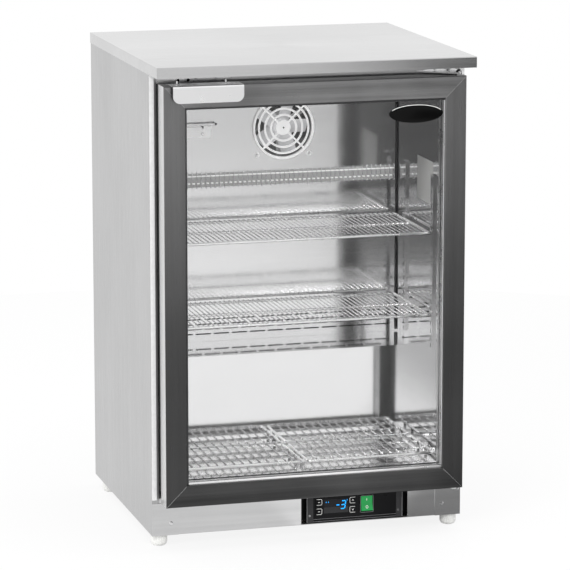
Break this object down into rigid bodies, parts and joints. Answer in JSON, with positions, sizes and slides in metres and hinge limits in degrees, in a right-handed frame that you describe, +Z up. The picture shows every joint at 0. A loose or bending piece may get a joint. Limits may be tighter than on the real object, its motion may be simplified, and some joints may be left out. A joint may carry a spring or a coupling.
{
  "type": "under counter fridge",
  "caption": "Under-counter glass-door fridge with a steel worktop, mitred dark door frame, wire shelves, fan cooling and a control strip below the door.",
  "frame": {"origin": "middle of the footprint, on the floor that the feet stand on", "axes": "+X to the right seen from the front, +Y to the back, +Z up; the door faces -Y and is hinged on the +X side"},
  "size_m": [0.6, 0.55, 0.9],
  "materials": {
    "stainless": "fine vertical brush lines",
    "galvanised": "zinc coated sheet",
    "foam": "closed-cell polyurethane foam",
    "liner_steel": "bright annealed, close to a mirror",
    "black_plastic": "black moulding",
    "green_lens": "lit translucent green",
    "plated_steel": "bright zinc or polished steel",
    "dark_aluminium": "dark brushed and anodised",
    "glass": "clear float glass",
    "spacer_aluminium": "satin",
    "gasket_rubber": "matt grey",
    "white_wire": "white powder coat",
    "chrome_wire": "bright chrome plate",
    "coil_aluminium": "mill finish fins",
    "black_steel": "semi-gloss black enamel",
    "white_plastic": "natural white nylon"
  },
  "bodies": {
    "cabinet": {"worktop": "stainless", "side_panel_left": "stainless", "side_panel_right": "stainless", "rear_panel": "galvanised", "rear_cover": "galvanised", "base_pan": "galvanised", "foam_insulation": "foam", "inner_liner": "liner_steel", "face_frame": "stainless", "corner_plate_left": "stainless", "corner_plate_right": "stainless", "fascia_left": "stainless", "fascia_right": "stainless", "control_housing": "black_plastic", "controller": "black_plastic", "switch_frame": "black_plastic", "hinge_bracket_upper": "plated_steel", "hinge_bracket_lower": "plated_steel", "hinge_pin_upper": "plated_steel", "hinge_pin_lower": "plated_steel", "fan_panel": "liner_steel", "fan_guard": "white_wire", "evap_fan_motor": "galvanised", "evaporator": "coil_aluminium", "air_grille": "chrome_wire", "probe_holder": "liner_steel", "pilaster_front_left": "liner_steel", "pilaster_front_right": "liner_steel", "pilaster_rear_left": "liner_steel", "pilaster_rear_right": "liner_steel", "shelf_clips": "chrome_wire", "compressor": "black_steel", "condenser": "black_steel", "condenser_fan_motor": "galvanised", "cable_gland": "black_plastic", "screws": "plated_steel"},
    "door": {"door_rail_top": "dark_aluminium", "door_rail_bottom": "dark_aluminium", "door_stile_left": "dark_aluminium", "door_stile_right": "dark_aluminium", "glass_outer": "glass", "glass_inner": "glass", "glass_spacer": "spacer_aluminium", "door_gasket": "gasket_rubber", "door_handle": "plated_steel"},
    "evap_fan": {"evap_fan_blade": "black_plastic"},
    "condenser_fan": {"condenser_fan_blade": "black_plastic"},
    "upper_shelf": {"shelf_upper": "chrome_wire"},
    "lower_shelf": {"shelf_lower": "chrome_wire"},
    "left_rack": {"floor_rack_left": "chrome_wire"},
    "right_rack": {"floor_rack_right": "chrome_wire"},
    "rocker": {"switch_rocker": "green_lens"},
    "power_key": {"key_power": "black_plastic"},
    "set_key": {"key_set": "black_plastic"},
    "up_key": {"key_up": "black_plastic"},
    "down_key": {"key_down": "black_plastic"},
    "front_left_foot": {"foot_front_left": "white_plastic"},
    "front_right_foot": {"foot_front_right": "white_plastic"},
    "rear_left_foot": {"foot_rear_left": "white_plastic"},
    "rear_right_foot": {"foot_rear_right": "white_plastic"}
  },
  "joints": [
    {"name": "door_hinge", "type": "hinge", "parent": "cabinet", "child": "door", "pos_m": [0.277, -0.243, 0.476], "axis": [0, 0, 1], "range_deg": [0, 105]},
    {"name": "evap_fan_spin", "type": "hinge", "parent": "cabinet", "child": "evap_fan", "pos_m": [0.033, 0.1002, 0.729], "axis": [0, -1, 0], "continuous": true},
    {"name": "condenser_fan_spin", "type": "hinge", "parent": "cabinet", "child": "condenser_fan", "pos_m": [0.14, 0.193, 0.135], "axis": [0, -1, 0], "continuous": true},
    {"name": "upper_shelf_lift", "type": "slide", "parent": "cabinet", "child": "upper_shelf", "axis": [0, 0, 1], "range_m": [0, 0.02]},
    {"name": "lower_shelf_lift", "type": "slide", "parent": "cabinet", "child": "lower_shelf", "axis": [0, 0, 1], "range_m": [0, 0.02]},
    {"name": "left_rack_lift", "type": "slide", "parent": "cabinet", "child": "left_rack", "axis": [0, 0, 1], "range_m": [0, 0.04]},
    {"name": "right_rack_lift", "type": "slide", "parent": "cabinet", "child": "right_rack", "axis": [0, 0, 1], "range_m": [0, 0.04]},
    {"name": "rocker_tilt", "type": "hinge", "parent": "cabinet", "child": "rocker", "pos_m": [0.1145, -0.203, 0.055], "axis": [1, 0, 0], "range_deg": [0, 16]},
    {"name": "power_key_press", "type": "slide", "parent": "cabinet", "child": "power_key", "axis": [0, 1, 0], "range_m": [0, 0.0008], "stiffness_N_per_m": 300},
    {"name": "set_key_press", "type": "slide", "parent": "cabinet", "child": "set_key", "axis": [0, 1, 0], "range_m": [0, 0.0008], "stiffness_N_per_m": 300},
    {"name": "up_key_press", "type": "slide", "parent": "cabinet", "child": "up_key", "axis": [0, 1, 0], "range_m": [0, 0.0008], "stiffness_N_per_m": 300},
    {"name": "down_key_press", "type": "slide", "parent": "cabinet", "child": "down_key", "axis": [0, 1, 0], "range_m": [0, 0.0008], "stiffness_N_per_m": 300},
    {"name": "front_left_foot_screw", "type": "hinge", "parent": "cabinet", "child": "front_left_foot", "pos_m": [-0.2815, -0.1875, 0.01], "axis": [0, 0, 1], "continuous": true},
    {"name": "front_right_foot_screw", "type": "hinge", "parent": "cabinet", "child": "front_right_foot", "pos_m": [0.2815, -0.1875, 0.01], "axis": [0, 0, 1], "continuous": true},
    {"name": "rear_left_foot_screw", "type": "hinge", "parent": "cabinet", "child": "rear_left_foot", "pos_m": [-0.2815, 0.2185, 0.01], "axis": [0, 0, 1], "continuous": true},
    {"name": "rear_right_foot_screw", "type": "hinge", "parent": "cabinet", "child": "rear_right_foot", "pos_m": [0.2815, 0.2185, 0.01], "axis": [0, 0, 1], "continuous": true}
  ]
}
